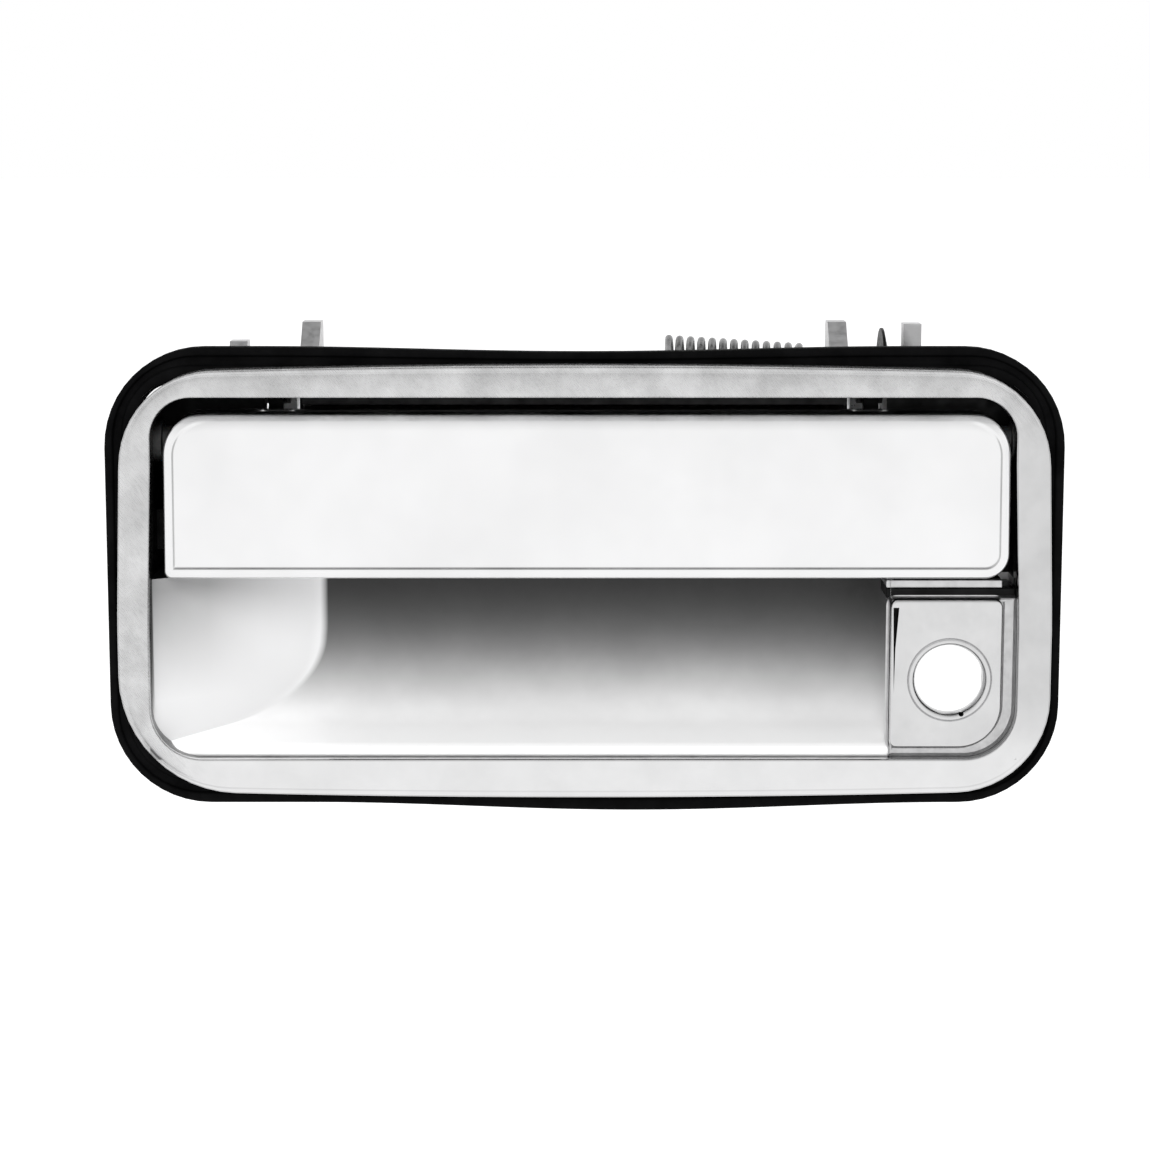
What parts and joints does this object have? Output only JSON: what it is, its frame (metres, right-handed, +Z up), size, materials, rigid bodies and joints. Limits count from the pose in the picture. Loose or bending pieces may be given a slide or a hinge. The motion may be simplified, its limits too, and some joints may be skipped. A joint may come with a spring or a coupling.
{
  "type": "car door handle",
  "caption": "Flush outer door handle: chromed housing with finger pocket and lock bore, hinged pull paddle, rubber gasket, spring-loaded transfer lever behind.",
  "frame": {"origin": "centre of the gasket's frame on the outer face of the door skin", "axes": "+X to the right seen from outside the car, +Y into the door, +Z up"},
  "size_m": [0.1902, 0.0531, 0.0966],
  "materials": {
    "chrome_body": "bright chrome, satin brushed along the top and left of the frame",
    "chrome_paddle": "mirror chrome",
    "black_rubber": "matte black",
    "pin_steel": "turned steel",
    "zinc_plate": "zinc plated",
    "spring_wire": "drawn spring wire",
    "black_spring_steel": "black phosphate",
    "nylon": "natural nylon"
  },
  "bodies": {
    "housing": {"housing": "chrome_body", "gasket": "black_rubber", "hinge_pin_left": "pin_steel", "hinge_pin_right": "pin_steel", "bumper_left": "black_rubber", "bumper_right": "black_rubber", "lever_shaft": "pin_steel", "shaft_push_nut": "black_spring_steel", "shaft_bushing_left": "nylon", "shaft_bushing_right": "nylon", "return_spring": "spring_wire", "mounting_stud_left": "zinc_plate", "mounting_stud_right": "zinc_plate", "mounting_nut_left": "zinc_plate", "mounting_nut_right": "zinc_plate"},
    "handle": {"pull_handle": "chrome_paddle", "hinge_bushing_left": "nylon", "hinge_bushing_right": "nylon", "finger_shoe_left": "nylon", "finger_shoe_right": "nylon"},
    "lever": {"transfer_lever": "zinc_plate", "latch_rod_clip": "nylon"}
  },
  "joints": [
    {"name": "handle_hinge", "type": "hinge", "parent": "housing", "child": "handle", "pos_m": [0, -0.0015, 0.0276], "axis": [-1, 0, 0], "range_deg": [0, 40]},
    {"name": "lever_pivot", "type": "hinge", "parent": "housing", "child": "lever", "pos_m": [0, 0.0245, 0.0396], "axis": [1, 0, 0], "range_deg": [0, 40], "stiffness_Nm_per_rad": 0.25, "springref_deg": -40.11, "deforming": ["return_spring"]}
  ],
  "couplings": [
    {"joint": "lever_pivot", "follows": "handle_hinge", "ratio": 1}
  ]
}
